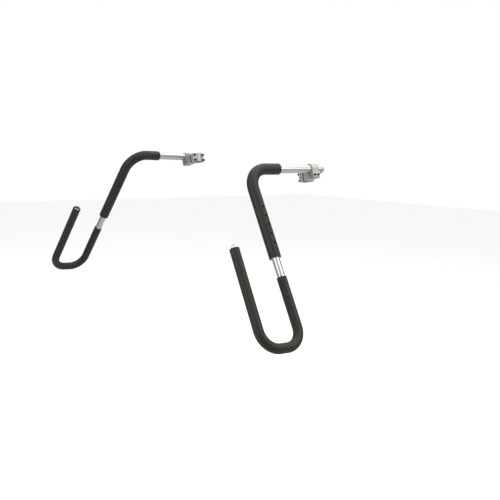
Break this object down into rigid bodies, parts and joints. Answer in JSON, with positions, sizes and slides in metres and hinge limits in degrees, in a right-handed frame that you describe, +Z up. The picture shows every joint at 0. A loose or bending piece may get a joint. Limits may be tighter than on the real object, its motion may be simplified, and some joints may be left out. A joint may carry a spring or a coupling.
{
  "type": "bicycle side carrier",
  "caption": "Clamp-on side carrier for a long board: a bent, foam-sleeved arm on the seat post and another on the stem, each with a telescoping hook.",
  "frame": {"origin": "middle of the rear clamp's bore, on the seat post's axis", "axes": "+X forward along the bicycle, +Y to the bicycle's left, +Z up; the arms reach out along -Y"},
  "size_m": [1.2936, 0.5045, 0.5147],
  "materials": {
    "clamp_metal": "machined and bead-blasted, satin",
    "tube_metal": "drawn and polished",
    "foam": "closed-cell foam, matt skin",
    "screws": "black oxide",
    "steel": "bright stainless",
    "spring_steel": "tempered or blackened, dull",
    "end_plug": "moulded, fine texture"
  },
  "bodies": {
    "clamps": {"rear_clamp_body": "clamp_metal", "rear_clamp_cap": "clamp_metal", "rear_cap_screws": "screws", "rear_pinch_screws": "screws", "front_clamp_body": "clamp_metal", "front_clamp_cap": "clamp_metal", "front_cap_screws": "screws", "front_pinch_screws": "screws"},
    "rear_arm": {"rear_arm_tube": "tube_metal", "rear_stop_collar": "clamp_metal", "rear_collar_screw": "screws", "rear_tube_plug": "end_plug", "rear_upper_sleeve": "foam"},
    "rear_hook": {"rear_hook_tube": "tube_metal", "rear_hook_sleeve": "foam", "rear_button_spring": "spring_steel", "rear_tip_plug": "tube_metal", "rear_cord_eye": "steel"},
    "rear_button": {"rear_snap_button": "spring_steel"},
    "front_arm": {"front_arm_tube": "tube_metal", "front_stop_collar": "clamp_metal", "front_collar_screw": "screws", "front_tube_plug": "end_plug", "front_upper_sleeve": "foam"},
    "front_hook": {"front_hook_tube": "tube_metal", "front_hook_sleeve": "foam", "front_button_spring": "spring_steel", "front_tip_plug": "tube_metal", "front_cord_eye": "steel"},
    "front_button": {"front_snap_button": "spring_steel"}
  },
  "joints": [
    {"name": "rear_arm_turn", "type": "hinge", "parent": "clamps", "child": "rear_arm", "pos_m": [-0.04819, -0.00417, 0.00129], "axis": [0.0869, -0.9959, 0.0259], "range_deg": [-56.6, 123.4]},
    {"name": "front_arm_turn", "type": "hinge", "parent": "clamps", "child": "front_arm", "pos_m": [0.66544, -0.00056, -0.02215], "axis": [-0.0118, -0.9999, -0.0031], "range_deg": [-122.7, 57.3]},
    {"name": "rear_hook_slide", "type": "slide", "parent": "rear_arm", "child": "rear_hook", "axis": [-0.5422, -0.1215, -0.8314], "range_m": [-0.0568, 0.0568], "deforming": ["rear_snap_button"]},
    {"name": "front_hook_slide", "type": "slide", "parent": "front_arm", "child": "front_hook", "axis": [0.5389, -0.0561, -0.8405], "range_m": [-0.0568, 0.0568], "deforming": ["front_snap_button"]},
    {"name": "rear_button_press", "type": "slide", "parent": "rear_hook", "child": "rear_button", "axis": [-0.8323, -0.0583, 0.5512], "range_m": [0, 0.0035], "stiffness_N_per_m": 2000, "deforming": ["rear_button_spring"]},
    {"name": "front_button_press", "type": "slide", "parent": "front_hook", "child": "front_button", "axis": [-0.8414, 0.0116, -0.5402], "range_m": [0, 0.0035], "stiffness_N_per_m": 2000, "deforming": ["front_button_spring"]}
  ]
}
